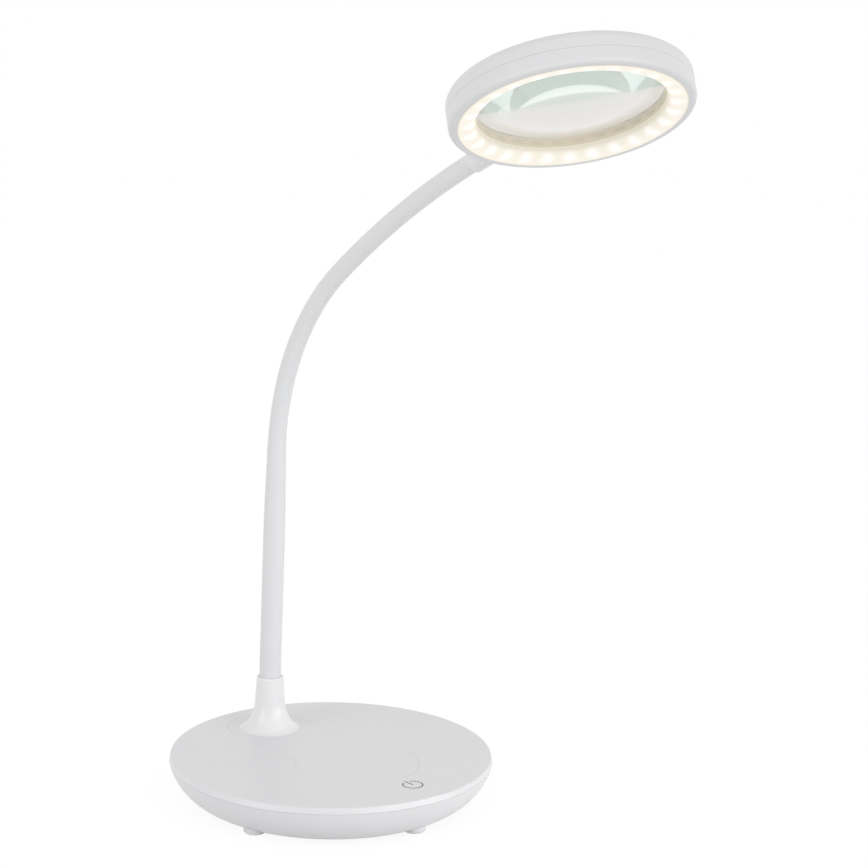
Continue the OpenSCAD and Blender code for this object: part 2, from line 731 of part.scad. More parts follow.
module upper_shell() {
    wall_foot = head_seam_h + head_seam_gap / 2;
    bend_r = head_r - upper_edge_r;
    bend_z = head_t - upper_edge_r;
    bore_wall_r = view_r + shell_wall;
    roof_z = head_t - shell_wall;
    color("#dcdde0") at_head() difference() {
        union() {
            rotate_extrude() difference() {
                union() {
                    translate([view_r, wall_foot]) square([head_r - view_r, bend_z - wall_foot]);
                    translate([view_r + opening_edge_r, bend_z])
                        square([bend_r - view_r - opening_edge_r, upper_edge_r]);
                    translate([view_r, bend_z]) square([opening_edge_r, upper_edge_r - opening_edge_r]);
                    translate([bend_r, bend_z]) circle(upper_edge_r);
                    translate([view_r + opening_edge_r, head_t - opening_edge_r]) circle(opening_edge_r);
                }
                square([head_d, wall_foot]);
                square([bore_wall_r, upper_bore_z]);
                translate([bore_wall_r, 0]) square([shell_in_r - bore_wall_r, bend_z]);
                translate([bore_wall_r, 0]) square([bend_r - bore_wall_r, roof_z]);
                translate([bend_r, bend_z]) circle(upper_edge_r - shell_wall);
            }
            four_corners() translate([head_boss_ring_r, 0, lens_z])
                cylinder(h = roof_z + cut / 2 - lens_z, r = head_boss_r);
        }
        collar_room();
        four_corners() translate([head_boss_ring_r, 0, lens_z - cut])
            cylinder(h = head_screw_len + cut - lens_ring_t, r = head_screw_d / 2);
        for (i = [0 : window_count - 1]) rotate([0, 0, 360 / window_count * i])
            translate([view_r - cut, -window_w / 2, upper_bore_z - cut])
                cube([shell_wall + 2 * cut, window_w, window_h + cut]);
    }
}

module diffuser() {
    face_r = lip_in_r - fit_gap;
    turn_r = min(diffuser_turn_r, face_r - view_r);
    turn_x = view_r + turn_r;
    turn_z = diffuser_drop + turn_r;
    bead_r = 0.6;
    color("#fff3d6") at_head() rotate_extrude() {
        difference() {
            union() {
                translate([turn_x, diffuser_drop])
                    square([face_r - turn_x, lip_t + diffuser_t - diffuser_drop]);
                translate([view_r, turn_z]) square([turn_r, diffuser_top_z - turn_z]);
                translate([turn_x, turn_z]) circle(turn_r);
            }
            translate([turn_x, turn_z]) circle(turn_r - diffuser_t);
            translate([turn_x, diffuser_drop + diffuser_t]) square([head_r, head_t]);
            translate([view_r + diffuser_t, turn_z]) square([head_r, head_t]);
            translate([0, diffuser_top_z]) square([head_r, head_t]);
        }
        translate([face_r - diffuser_t, lip_t])
            square([diffuser_flange_r - face_r + diffuser_t, diffuser_t]);
        translate([view_r + bead_r / 2, diffuser_top_z - bead_r]) circle(bead_r);
    }
}

module light_board() {
    notch_w = 2 * (collar_flange_r + pass_gap);
    color("#e9eae6") at_head() difference() {
        ring(view_r + diffuser_t + pass_gap, light_board_r, light_board_z, light_board_top);
        translate([-notch_w / 2, tip_end_y - pass_gap, 0]) cube([notch_w, head_d, head_t]);
    }
}

module light_chips() {
    color("#ffe9a8") at_head() for (i = [0 : light_count - 1]) rotate([0, 0, 360 / light_count * (i + 0.5)])
        translate([light_ring_d / 2 - light_w / 2, -light_w / 2, light_board_z - light_h])
            cube([light_w, light_w, light_h]);
}

// Crowned glass with a flat rim
module lens() {
    color("#dfeee9") at_head() rotate_extrude() {
        translate([0, lens_z]) square([lens_r, lens_rim_t]);
        intersection() {
            translate([0, -head_t]) square([crown_r, 3 * head_t]);
            translate([0, lens_z - lens_crown + lens_sphere_r]) circle(lens_sphere_r, $fn = 1440);
            translate([0, lens_top_z + lens_crown - lens_sphere_r]) circle(lens_sphere_r, $fn = 1440);
        }
    }
}

module lens_ring() {
    color("#b9ae9c") at_head() difference() {
        union() {
            ring(view_r, view_r + lens_ring_wall, diffuser_top_z + fit_gap, lens_z);
            ring(view_r, head_boss_ring_r + head_boss_r, lens_ring_flange_z, lens_z);
        }
        four_corners() translate([head_boss_ring_r, 0, 0])
            cylinder(h = head_t, r = head_screw_d / 2 + fit_gap);
    }
}

module head_screws() {
    color("#a5a8ab") at_head() four_corners() translate([head_boss_ring_r, 0, lens_ring_flange_z]) {
        translate([0, 0, -head_screw_head_h]) cylinder(h = head_screw_head_h, r = head_screw_head_d / 2);
        cylinder(h = head_screw_len - pass_gap, r = head_screw_d / 2);
    }
}

base_bowl();
top_cover();
keyhole_inlay();
ballast();
base_screws();
for (i = [1 : foot_count]) foot(i);
control_board();
touch_electrode();
power_inlet();
boot();
arm_root();
root_nut();
for (i = [1 : joint_count - 1]) arm_link(i);
arm_sleeve();
arm_lead();
arm_tip();
head_collar();
lower_shell();
upper_shell();
diffuser();
light_board();
light_chips();
lens();
lens_ring();
head_screws();
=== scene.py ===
import json
import math

import bmesh
import bpy
from mathutils import Matrix, Vector

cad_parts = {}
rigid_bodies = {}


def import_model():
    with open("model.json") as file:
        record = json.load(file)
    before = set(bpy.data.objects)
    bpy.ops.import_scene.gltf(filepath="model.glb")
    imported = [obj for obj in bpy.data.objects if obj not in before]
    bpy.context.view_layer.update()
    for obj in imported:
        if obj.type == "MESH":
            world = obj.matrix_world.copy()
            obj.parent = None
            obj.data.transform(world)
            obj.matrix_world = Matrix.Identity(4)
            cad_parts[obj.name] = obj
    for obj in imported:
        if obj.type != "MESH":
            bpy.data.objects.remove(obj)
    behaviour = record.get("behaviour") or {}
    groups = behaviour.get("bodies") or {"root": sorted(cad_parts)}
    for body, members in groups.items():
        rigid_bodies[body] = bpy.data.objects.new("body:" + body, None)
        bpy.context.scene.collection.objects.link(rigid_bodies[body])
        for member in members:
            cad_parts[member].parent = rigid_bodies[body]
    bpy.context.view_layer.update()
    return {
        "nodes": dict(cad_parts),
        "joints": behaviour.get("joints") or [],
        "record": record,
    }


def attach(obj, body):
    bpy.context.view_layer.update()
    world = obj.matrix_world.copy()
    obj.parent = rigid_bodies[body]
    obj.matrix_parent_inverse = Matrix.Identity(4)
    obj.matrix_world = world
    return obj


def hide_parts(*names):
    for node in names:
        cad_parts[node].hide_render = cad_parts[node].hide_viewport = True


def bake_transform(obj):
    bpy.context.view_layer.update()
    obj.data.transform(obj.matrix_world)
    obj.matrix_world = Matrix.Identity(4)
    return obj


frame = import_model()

scene = bpy.context.scene
scene.view_settings.view_transform = "Standard"
# the lens shows its own rim many times over, and each reflection costs a bounce
lensBounces = 32
scene.cycles.max_bounces = lensBounces
scene.cycles.glossy_bounces = lensBounces
scene.cycles.transmission_bounces = lensBounces


# helpers for node trees
def addNode(tree, kind, **settings):
    node = tree.nodes.new(kind)
    for key, value in settings.items():
        setattr(node, key, value)
    return node


def mathNode(tree, operation, first, second=None):
    node = addNode(tree, "ShaderNodeMath", operation=operation)
    for socket, value in zip(node.inputs, (first, second)):
        if value is None:
            continue
        if isinstance(value, (int, float)):
            socket.default_value = value
        else:
            tree.links.new(value, socket)
    return node.outputs[0]


def squareOf(tree, value):
    return mathNode(tree, "MULTIPLY", value, value)


# camera, solved from the base's ellipse and the arm in the photograph
cameraSetup = {
    "place": (-0.77697, -0.92241, 0.44375),  # metres
    "right": (0.7402, -0.6720, 0.0223),
    "up": (0.1191, 0.1638, 0.9793),
    "focalPixels": 2400,
    "imagePixels": 868,
    "sensorWidth": 36.0,  # millimetres
    "clipEnd": 20.0,
}


def placeCamera(setup):
    data = bpy.data.cameras.new("photoCamera")
    camera = bpy.data.objects.new("photoCamera", data)
    scene.collection.objects.link(camera)
    right = Vector(setup["right"]).normalized()
    up = Vector(setup["up"])
    up = (up - right * up.dot(right)).normalized()
    back = right.cross(up)
    turn = Matrix((right, up, back)).transposed().to_4x4()
    camera.matrix_world = Matrix.Translation(setup["place"]) @ turn
    data.sensor_width = setup["sensorWidth"]
    data.lens = setup["focalPixels"] / setup["imagePixels"] * setup["sensorWidth"]
    data.clip_end = setup["clipEnd"]
    scene.camera = camera


placeCamera(cameraSetup)
print("camera placed")

# light and background
studio = {
    "fillStrength": 0.815,
    "lamps": {  # watts, metres and degrees
        "frontLamp": {"power": 9.6, "size": 1.2, "spread": 180,
                      "place": (0.15, -1.95, 0.45), "aim": (0.0, -0.06, 0.2)},
        "sideLamp": {"power": 7.4, "size": 1.0, "spread": 180,
                     "place": (-1.9, 0.05, 0.6), "aim": (0.0, -0.06, 0.2)},
        "lowLamp": {"power": 0.12, "size": 0.3, "spread": 50,
                    "place": (0.45, -0.72, 0.08), "aim": (0.0, 0.0, 0.02)},
    },
    "floorSize": 6.0,
    "floorPaint": (0.8, 0.8, 0.8),
    "floorWhiteShare": 0.85,
    "floorWhite": 1.06,
}


def backdropRay(tree):
    # 1 where the camera looks at the background straight, in a reflection or through glass
    path = addNode(tree, "ShaderNodeLightPath")
    seen = mathNode(tree, "MAXIMUM", path.outputs["Is Camera Ray"], path.outputs["Is Glossy Ray"])
    return mathNode(tree, "MAXIMUM", seen, path.outputs["Is Transmission Ray"])


def makeWorld(setup):
    world = bpy.data.worlds.new("studioWorld")
    scene.world = world
    world.use_nodes = True
    tree = world.node_tree
    tree.nodes.clear()
    fill = tree.nodes.new("ShaderNodeBackground")
    fill.inputs["Color"].default_value = (1.0, 1.0, 1.0, 1.0)
    fill.inputs["Strength"].default_value = setup["fillStrength"]
    white = tree.nodes.new("ShaderNodeBackground")
    white.inputs["Color"].default_value = (1.0, 1.0, 1.0, 1.0)
    mix = tree.nodes.new("ShaderNodeMixShader")
    out = tree.nodes.new("ShaderNodeOutputWorld")
    tree.links.new(backdropRay(tree), mix.inputs["Fac"])
    tree.links.new(fill.outputs[0], mix.inputs[1])
    tree.links.new(white.outputs[0], mix.inputs[2])
    tree.links.new(mix.outputs[0], out.inputs["Surface"])


def areaLamp(name, setup):
    data = bpy.data.lights.new(name, "AREA")
    data.energy = setup["power"]
    data.shape = "DISK"
    data.size = setup["size"]
    data.spread = math.radians(setup["spread"])
    lamp = bpy.data.objects.new(name, data)
    scene.collection.objects.link(lamp)
    aim = Vector(setup["aim"]) - Vector(setup["place"])
    turn = aim.to_track_quat("-Z", "Y").to_matrix().to_4x4()
    lamp.matrix_world = Matrix.Translation(setup["place"]) @ turn


def makeFloor(setup):
    half = setup["floorSize"] / 2
    mesh = bpy.data.meshes.new("studioFloor")
    corners = [(-half, -half, 0), (half, -half, 0), (half, half, 0), (-half, half, 0)]
    mesh.from_pydata(corners, [], [(0, 1, 2, 3)])
    floor = bpy.data.objects.new("studioFloor", mesh)
    scene.collection.objects.link(floor)
    material = bpy.data.materials.new("paleFloor")
    material.use_nodes = True
    tree = material.node_tree
    tree.nodes.clear()
    paint = tree.nodes.new("ShaderNodeBsdfDiffuse")
    paint.inputs["Color"].default_value = (*setup["floorPaint"], 1.0)
    white = tree.nodes.new("ShaderNodeEmission")
    white.inputs["Strength"].default_value = setup["floorWhite"]
    mix = tree.nodes.new("ShaderNodeMixShader")
    out = tree.nodes.new("ShaderNodeOutputMaterial")
    share = mathNode(tree, "MULTIPLY", backdropRay(tree), setup["floorWhiteShare"])
    tree.links.new(share, mix.inputs["Fac"])
    tree.links.new(paint.outputs[0], mix.inputs[1])
    tree.links.new(white.outputs[0], mix.inputs[2])
    tree.links.new(mix.outputs[0], out.inputs["Surface"])
    mesh.materials.append(material)


makeWorld(studio)
for lampName, lampSetup in studio["lamps"].items():
    areaLamp(lampName, lampSetup)
makeFloor(studio)
print("studio lit")

# the arm's centreline, worked out as in the solids: straight runs and bends in the lamp's own plane
armPath = {
    "footBack": 0.0521,
    "footHeight": 0.024,
    "runs": [  # length and bend radius, 0 for a straight run
        (0.032, 0.0),
        (0.25 * math.radians(1.8), 0.25),
        (0.1135, 0.0),
        (0.137 * math.radians(48.7), 0.137),
        (0.54 * math.radians(12.5), 0.54),
        (0.068, 0.0),
    ],
    "firstJoint": 0.040,
    "lastJointToHead": 0.0766,
}
armLength = sum(run[0] for run in armPath["runs"])


def armState(distance):
    # forward, up and lean at a distance along the arm from the top of the base
    forward, up, lean = -armPath["footBack"], armPath["footHeight"], 0.0
    left = distance
    for index, (length, bend) in enumerate(armPath["runs"]):
        lastRun = index == len(armPath["runs"]) - 1
        step = left if lastRun else min(left, length)
        if bend == 0.0:
            forward += step * math.sin(lean)
            up += step * math.cos(lean)
        else:
            turned = lean + step / bend
            forward += bend * (math.cos(lean) - math.cos(turned))
            up += bend * (math.sin(turned) - math.sin(lean))
            lean = turned
        left -= step
        if left <= 0.0:
            break
    return forward, up, lean


def armPoint(distance):
    forward, up, lean = armState(distance)
    return Vector((0.0, -forward, up))


# the head's own frame: light face at z 0, arm arriving from +Y
headFrame = {
    "roll": math.radians(12.5),
    "seamHeight": 0.0076,
}


def headMatrix():
    forward, up, lean = armState(armLength)
    place = Matrix.Translation((0.0, -forward, up))
    tilt = Matrix.Rotation(lean - math.pi / 2, 4, "X")
    roll = Matrix.Rotation(headFrame["roll"], 4, "Y")
    return place @ tilt @ roll @ Matrix.Translation((0.0, 0.0, -headFrame["seamHeight"]))


headPlace = headMatrix()
print("arm is", round(armLength * 1000), "mm long")
print("head at", [round(c, 4) for c in headPlace.translation])


# shader node groups
def newGroup(name, inputs, outputs):
    group = bpy.data.node_groups.new(name, "ShaderNodeTree")
    for socketName, socketType, value in inputs:
        socket = group.interface.new_socket(socketName, in_out="INPUT", socket_type=socketType)
        if value is not None:
            socket.default_value = value
    for socketName, socketType in outputs:
        group.interface.new_socket(socketName, in_out="OUTPUT", socket_type=socketType)
    return group, group.nodes.new("NodeGroupInput"), group.nodes.new("NodeGroupOutput")


mouldPattern = {
    "grainDetail": 3.0,
    "grainRoughness": 0.6,
    "driftScale": 9.0,  # colour drift
    "driftDetail": 2.0,
    "patchScale": 55.0,  # patches of gloss
    "patchDetail": 4.0,
    "patchLow": 0.3,
    "patchHigh": 0.7,
}


def mouldGrainGroup(pattern):
    # fine moulded grain, broad colour drift and patchy gloss, in the piece's own metres
    group, start, end = newGroup("mouldGrain", [
        ("Vector", "NodeSocketVector", None),
        ("Grain Scale", "NodeSocketFloat", 2600.0),
        ("Tint Low", "NodeSocketColor", (0.7, 0.7, 0.7, 1.0)),
        ("Tint High", "NodeSocketColor", (0.75, 0.75, 0.75, 1.0)),
        ("Rough Low", "NodeSocketFloat", 0.35),
        ("Rough High", "NodeSocketFloat", 0.45),
    ], [
        ("Color", "NodeSocketColor"),
        ("Roughness", "NodeSocketFloat"),
        ("Height", "NodeSocketFloat"),
    ])
    grain = addNode(group, "ShaderNodeTexNoise")
    grain.inputs["Detail"].default_value = pattern["grainDetail"]
    grain.inputs["Roughness"].default_value = pattern["grainRoughness"]
    drift = addNode(group, "ShaderNodeTexNoise")
    drift.inputs["Scale"].default_value = pattern["driftScale"]
    drift.inputs["Detail"].default_value = pattern["driftDetail"]
    patch = addNode(group, "ShaderNodeTexNoise")
    patch.inputs["Scale"].default_value = pattern["patchScale"]
    patch.inputs["Detail"].default_value = pattern["patchDetail"]
    tint = addNode(group, "ShaderNodeMix", data_type="RGBA")
    gloss = addNode(group, "ShaderNodeMapRange")
    gloss.inputs["From Min"].default_value = pattern["patchLow"]
    gloss.inputs["From Max"].default_value = pattern["patchHigh"]
    for texture in (grain, drift, patch):
        group.links.new(start.outputs["Vector"], texture.inputs["Vector"])
    group.links.new(start.outputs["Grain Scale"], grain.inputs["Scale"])
    group.links.new(drift.outputs["Fac"], tint.inputs["Factor"])
    group.links.new(start.outputs["Tint Low"], tint.inputs[6])
    group.links.new(start.outputs["Tint High"], tint.inputs[7])
    group.links.new(patch.outputs["Fac"], gloss.inputs["Value"])
    group.links.new(start.outputs["Rough Low"], gloss.inputs["To Min"])
    group.links.new(start.outputs["Rough High"], gloss.inputs["To Max"])
    group.links.new(tint.outputs[2], end.inputs["Color"])
    group.links.new(gloss.outputs["Result"], end.inputs["Roughness"])
    group.links.new(grain.outputs["Fac"], end.inputs["Height"])
    return group


def chipGlowGroup():
    # glow of a ring of light chips seen through the milky ring, in the head's own frame; the taupe ring
    # and the lens's frosted rim take its spots and bands for painted light
    group, start, end = newGroup("chipGlow", [
        ("Vector", "NodeSocketVector", None),
        ("Count", "NodeSocketFloat", 27.0),
        ("First Step", "NodeSocketFloat", 0.5),
        ("Ring Radius", "NodeSocketFloat", 0.0485),
        ("Ring Height", "NodeSocketFloat", 0.001),
        ("Spot Width", "NodeSocketFloat", 0.004),
        ("Spot Length", "NodeSocketFloat", 0.008),
        ("Spot Rise", "NodeSocketFloat", 1.0),
        ("Depth Start", "NodeSocketFloat", 0.001),
        ("Depth End", "NodeSocketFloat", 0.0064),
        ("Edge Start", "NodeSocketFloat", 0.051),
        ("Edge End", "NodeSocketFloat", 0.0517),
    ], [
        ("Spot", "NodeSocketFloat"),
        ("Depth", "NodeSocketFloat"),
        ("Edge", "NodeSocketFloat"),
    ])
    split = addNode(group, "ShaderNodeSeparateXYZ")
    group.links.new(start.outputs["Vector"], split.inputs[0])
    across, along = split.outputs["X"], split.outputs["Y"]
    squared = mathNode(group, "ADD", squareOf(group, across), squareOf(group, along))
    radius = mathNode(group, "SQRT", squared)
    angle = mathNode(group, "ARCTAN2", along, across)
    perTurn = mathNode(group, "DIVIDE", start.outputs["Count"], math.tau)
    steps = mathNode(group, "MULTIPLY", angle, perTurn)
    centred = mathNode(group, "ADD", steps, 0.5)  # half a step, so that offset is 0 over a chip
    shifted = mathNode(group, "SUBTRACT", centred, start.outputs["First Step"])
    offset = mathNode(group, "SUBTRACT", mathNode(group, "FRACT", shifted), 0.5)
    pitch = mathNode(group, "DIVIDE", math.tau, start.outputs["Count"])
    sideways = mathNode(group, "MULTIPLY", mathNode(group, "MULTIPLY", offset, pitch), radius)
    outward = mathNode(group, "SUBTRACT", radius, start.outputs["Ring Radius"])
    wide = mathNode(group, "DIVIDE", sideways, start.outputs["Spot Width"])
    long = mathNode(group, "DIVIDE", outward, start.outputs["Spot Length"])
    above = mathNode(group, "SUBTRACT", split.outputs["Z"], start.outputs["Ring Height"])
    high = mathNode(group, "DIVIDE", above, start.outputs["Spot Rise"])
    flat = mathNode(group, "ADD", squareOf(group, wide), squareOf(group, long))
    apart = mathNode(group, "SQRT", mathNode(group, "ADD", flat, squareOf(group, high)))
    spot = addNode(group, "ShaderNodeMapRange", interpolation_type="SMOOTHERSTEP")
    spot.inputs["From Max"].default_value = 1.0
    spot.inputs["To Min"].default_value = 1.0
    spot.inputs["To Max"].default_value = 0.0
    group.links.new(apart, spot.inputs["Value"])
    group.links.new(spot.outputs["Result"], end.inputs["Spot"])
    for name, value in (("Depth", split.outputs["Z"]), ("Edge", radius)):
        spread = addNode(group, "ShaderNodeMapRange")
        group.links.new(value, spread.inputs["Value"])
        group.links.new(start.outputs[name + " Start"], spread.inputs["From Min"])
        group.links.new(start.outputs[name + " End"], spread.inputs["From Max"])
        group.links.new(spread.outputs["Result"], end.inputs[name])
    return group


mouldGrain = mouldGrainGroup(mouldPattern)
chipGlow = chipGlowGroup()


def newMaterial(name):
    material = bpy.data.materials.new(name)
    material.use_nodes = True
    tree = material.node_tree
    return material, tree, tree.nodes["Principled BSDF"]


def grainMaterial(name, look):
    material, tree, shader = newMaterial(name)
    place = addNode(tree, "ShaderNodeTexCoord")
    grain = addNode(tree, "ShaderNodeGroup", node_tree=mouldGrain)
    grain.inputs["Grain Scale"].default_value = look["grainScale"]
    grain.inputs["Tint Low"].default_value = (*look["tintLow"], 1.0)
    grain.inputs["Tint High"].default_value = (*look["tintHigh"], 1.0)
    grain.inputs["Rough Low"].default_value = look["roughLow"]
    grain.inputs["Rough High"].default_value = look["roughHigh"]
    bump = addNode(tree, "ShaderNodeBump")
    bump.inputs["Strength"].default_value = look["bump"]
    bump.inputs["Distance"].default_value = look["bumpDepth"]
    tree.links.new(place.outputs["Object"], grain.inputs["Vector"])
    tree.links.new(grain.outputs["Color"], shader.inputs["Base Color"])
    tree.links.new(grain.outputs["Roughness"], shader.inputs["Roughness"])
    tree.links.new(grain.outputs["Height"], bump.inputs["Height"])
    tree.links.new(bump.outputs["Normal"], shader.inputs["Normal"])
    shader.inputs["Metallic"].default_value = look.get("metallic", 0.0)
    return material


# finishes
looks = {
    "whiteShell": {
        "tintLow": (0.692, 0.695, 0.707), "tintHigh": (0.71, 0.712, 0.724),
        "roughLow": 0.33, "roughHigh": 0.4,
        "grainScale": 3200.0, "bump": 0.12, "bumpDepth": 0.00004,
    },
    # painted shade: the head's shells, the same white plastic as the base, made a shade darker
    "whiteHeadShaded": {
        "tintLow": (0.668, 0.67, 0.68), "tintHigh": (0.684, 0.686, 0.696),
        "roughLow": 0.36, "roughHigh": 0.43,
        "grainScale": 3200.0, "bump": 0.12, "bumpDepth": 0.00004,
    },
    # painted light: the collar, the same white plastic as the base, made a shade lighter
    "whiteCollarLit": {
        "tintLow": (0.704, 0.706, 0.716), "tintHigh": (0.72, 0.722, 0.732),
        "roughLow": 0.36, "roughHigh": 0.43,
        "grainScale": 3200.0, "bump": 0.12, "bumpDepth": 0.00004,
    },
    # painted light: the boot, the same white plastic as the base, made lighter; it is also glossier
    "whiteBootLit": {
        "tintLow": (0.745, 0.747, 0.755), "tintHigh": (0.765, 0.766, 0.773),
        "roughLow": 0.25, "roughHigh": 0.32,
        "grainScale": 3000.0, "bump": 0.1, "bumpDepth": 0.00004,
    },
    "whiteSleeve": {
        "tintLow": (0.675, 0.679, 0.688), "tintHigh": (0.695, 0.698, 0.706),
        "roughLow": 0.42, "roughHigh": 0.5,
        "grainScale": 2400.0, "bump": 0.07, "bumpDepth": 0.00004,
    },
    "footRubber": {
        "tintLow": (0.70, 0.70, 0.71), "tintHigh": (0.74, 0.74, 0.75),
        "roughLow": 0.6, "roughHigh": 0.75,
        "grainScale": 1600.0, "bump": 0.3, "bumpDepth": 0.00008,
    },
    "blackPlastic": {
        "tintLow": (0.014, 0.014, 0.015), "tintHigh": (0.02, 0.02, 0.022),
        "roughLow": 0.4, "roughHigh": 0.5,
        "grainScale": 2200.0, "bump": 0.2, "bumpDepth": 0.00005,
    },
    "platedSteel": {
        "tintLow": (0.5, 0.51, 0.53), "tintHigh": (0.58, 0.59, 0.6),
        "roughLow": 0.25, "roughHigh": 0.42,
        "grainScale": 1800.0, "bump": 0.2, "bumpDepth": 0.00003, "metallic": 1.0,
    },
    "rawIron": {
        "tintLow": (0.16, 0.165, 0.17), "tintHigh": (0.24, 0.24, 0.245),
        "roughLow": 0.5, "roughHigh": 0.7,
        "grainScale": 900.0, "bump": 0.4, "bumpDepth": 0.0002, "metallic": 1.0,
    },
    "brightBrass": {
        "tintLow": (0.62, 0.42, 0.16), "tintHigh": (0.7, 0.5, 0.22),
        "roughLow": 0.25, "roughHigh": 0.38,
        "grainScale": 1600.0, "bump": 0.15, "bumpDepth": 0.00003, "metallic": 1.0,
    },
    "greenBoard": {
        "tintLow": (0.02, 0.12, 0.05), "tintHigh": (0.03, 0.17, 0.07),
        "roughLow": 0.3, "roughHigh": 0.4,
        "grainScale": 1500.0, "bump": 0.2, "bumpDepth": 0.00005,
    },
    "whiteBoard": {
        "tintLow": (0.74, 0.74, 0.71), "tintHigh": (0.8, 0.8, 0.77),
        "roughLow": 0.35, "roughHigh": 0.45,
        "grainScale": 1500.0, "bump": 0.15, "bumpDepth": 0.00005,
    },
    "phosphor": {
        "tintLow": (0.85, 0.66, 0.16), "tintHigh": (0.92, 0.74, 0.24),
        "roughLow": 0.45, "roughHigh": 0.6,
        "grainScale": 3000.0, "bump": 0.2, "bumpDepth": 0.00005,
    },
    "printedBlack": {
        "tintLow": (0.05, 0.045, 0.04), "tintHigh": (0.065, 0.058, 0.052),
        "roughLow": 0.38, "roughHigh": 0.46,
        "grainScale": 3600.0, "bump": 0.1, "bumpDepth": 0.00003,
    },
}
finish = {name: grainMaterial(name, look) for name, look in looks.items()}


def headCoords(tree, coords):
    # object coordinates turned into the head's own frame
    turn = addNode(tree, "ShaderNodeMapping", vector_type="TEXTURE")
    turn.inputs["Location"].default_value = headPlace.translation
    turn.inputs["Rotation"].default_value = headPlace.to_euler("XYZ")
    tree.links.new(coords.outputs["Object"], turn.inputs["Vector"])
    return turn.outputs["Vector"]


lensGlass = {
    "tint": (0.835, 0.795, 0.78),
    "ior": 1.5,
    "absorb": (0.3, 0.6, 0.5),
    "absorbDensity": 5.0,
    # painted light: a ray that leaves the glass after going to and fro in it meets this emitted colour
    # instead of the scene
    "glowLow": (0.83, 0.86, 0.84),  # downward
    "glowHigh": (1.2, 1.22, 1.22),  # upward
    "glowAfter": 1.5,  # bounces
    "middle": 0.0113,  # height between the two faces
}


def glassMaterial(look):
    material, tree, shader = newMaterial("lensGlass")
    shader.inputs["Base Color"].default_value = (*look["tint"], 1.0)
    shader.inputs["Roughness"].default_value = 0.0
    shader.inputs["IOR"].default_value = look["ior"]
    shader.inputs["Transmission Weight"].default_value = 1.0
    depth = addNode(tree, "ShaderNodeVolumeAbsorption")
    depth.inputs["Color"].default_value = (*look["absorb"], 1.0)
    depth.inputs["Density"].default_value = look["absorbDensity"]
    coords = addNode(tree, "ShaderNodeTexCoord")
    split = addNode(tree, "ShaderNodeSeparateXYZ")
    tree.links.new(headCoords(tree, coords), split.inputs[0])
    # painted reflection: rays that bounced inside the lens take this emitted colour where they leave
    # it, greyish green going down and bright going up
    glow = addNode(tree, "ShaderNodeMix", data_type="RGBA")
    glow.inputs[6].default_value = (*look["glowLow"], 1.0)
    glow.inputs[7].default_value = (*look["glowHigh"], 1.0)
    upward = mathNode(tree, "GREATER_THAN", split.outputs["Z"], look["middle"])
    tree.links.new(upward, glow.inputs["Factor"])
    leaving = addNode(tree, "ShaderNodeEmission")
    tree.links.new(glow.outputs[2], leaving.inputs["Color"])
    path = addNode(tree, "ShaderNodeLightPath")
    side = addNode(tree, "ShaderNodeNewGeometry")
    mirror = addNode(tree, "ShaderNodeFresnel")
    mirror.inputs["IOR"].default_value = look["ior"]
    bounced = mathNode(tree, "GREATER_THAN", path.outputs["Ray Depth"], look["glowAfter"])
    inside = mathNode(tree, "MULTIPLY", bounced, side.outputs["Backfacing"])
    share = mathNode(tree, "MULTIPLY", inside, mathNode(tree, "SUBTRACT", 1.0, mirror.outputs["Fac"]))
    mix = addNode(tree, "ShaderNodeMixShader")
    tree.links.new(share, mix.inputs["Fac"])
    tree.links.new(shader.outputs["BSDF"], mix.inputs[1])
    tree.links.new(leaving.outputs["Emission"], mix.inputs[2])
    tree.links.new(mix.outputs["Shader"], tree.nodes["Material Output"].inputs["Surface"])
    tree.links.new(depth.outputs["Volume"], tree.nodes["Material Output"].inputs["Volume"])
    return material


milkyRing = {
    "chips": 27.0,
    "firstStep": 0.8,
    "chipRing": 0.0465,
    "chipHeight": 0.0008,
    "spotWidth": 0.0050,
    "spotLength": 0.0068,
    "spotRise": 0.0038,
    "bands": [  # glow between the chips, from the face up into the bore and over its two beads; darker up the bore, partly the glow's own fall and partly painted shade, with a painted shade band at 5.5 to 5.8 mm and a painted highlight at 6.1 mm on the upper bead
        (0.0004, (0.635, 0.595, 0.51)),
        (0.0022, (0.59, 0.55, 0.45)),
        (0.0036, (0.51, 0.47, 0.375)),
        (0.0052, (0.50, 0.455, 0.345)),
        (0.0055, (0.36, 0.325, 0.225)),
        (0.0058, (0.36, 0.325, 0.225)),
        (0.0061, (0.49, 0.45, 0.33)),
        (0.0064, (0.40, 0.365, 0.265)),
    ],
    "edge": (0.0516, 0.0523),  # radii over which it fades at the lip
    "rimShade": (0.42, 0.37, 0.29),  # painted shade: darker glow at the lip, where the gap to the lip lies in shadow
    "spot": (0.74, 0.73, 0.72),  # glow over a chip
    "body": (0.3, 0.29, 0.27),
    "roughness": 0.45,
}
